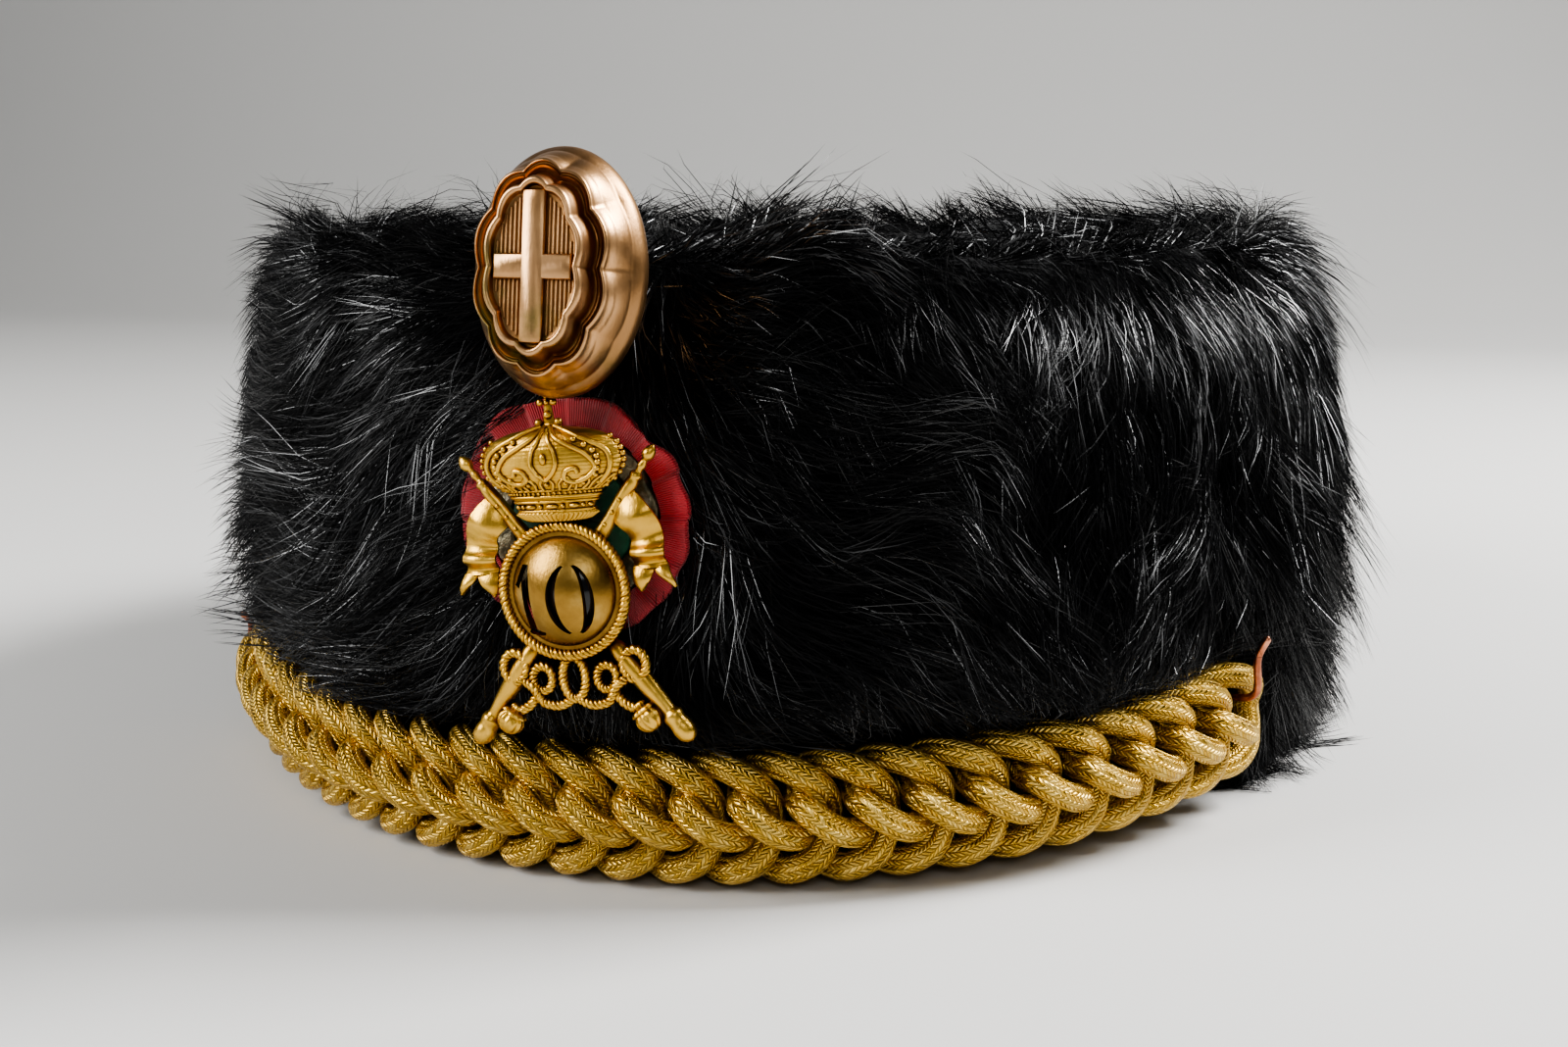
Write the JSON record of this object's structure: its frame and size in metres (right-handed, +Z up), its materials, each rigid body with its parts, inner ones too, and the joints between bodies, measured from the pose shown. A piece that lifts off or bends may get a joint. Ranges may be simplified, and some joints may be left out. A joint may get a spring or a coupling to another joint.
{
  "type": "busby hat",
  "caption": "Black fur busby: an oval fur-covered hat with a gold chain-plaited cord on copper hooks, a gilt crowned lance badge on a silk cockade and an oval cross boss.",
  "frame": {"origin": "middle of the outline seen from above, on the surface the rim stands on", "axes": "+Z up, front with the badge towards -Y, +X to the viewer's right of the badge"},
  "size_m": [0.2494, 0.295, 0.1229],
  "materials": {
    "body_shell": "matt black-brown leather",
    "crown_top": "plain black leather, slight sheen",
    "fur": "deep black fur with blue-grey glints",
    "braided_cord": "cord covered in woven gold thread, lightly tarnished",
    "hooks": "dull copper wire with bright cut ends",
    "cockade_red": "pleated ribbed silk",
    "cockade_silver": "tarnished silver lace",
    "cockade_green": "pleated green silk",
    "lance_badge": "gilt casting with brown patina in the recesses",
    "number_backing": "glossy black",
    "boss": "satin rose gilt with olive tarnish"
  },
  "bodies": {
    "root": {"body_shell": "body_shell", "crown_top": "crown_top", "fur": "fur", "braided_cord": "braided_cord", "hook_left": "hooks", "hook_right": "hooks", "cockade_red": "cockade_red", "cockade_silver": "cockade_silver", "cockade_green": "cockade_green", "lance_badge": "lance_badge", "number_backing": "number_backing", "boss": "boss"}
  },
  "joints": []
}
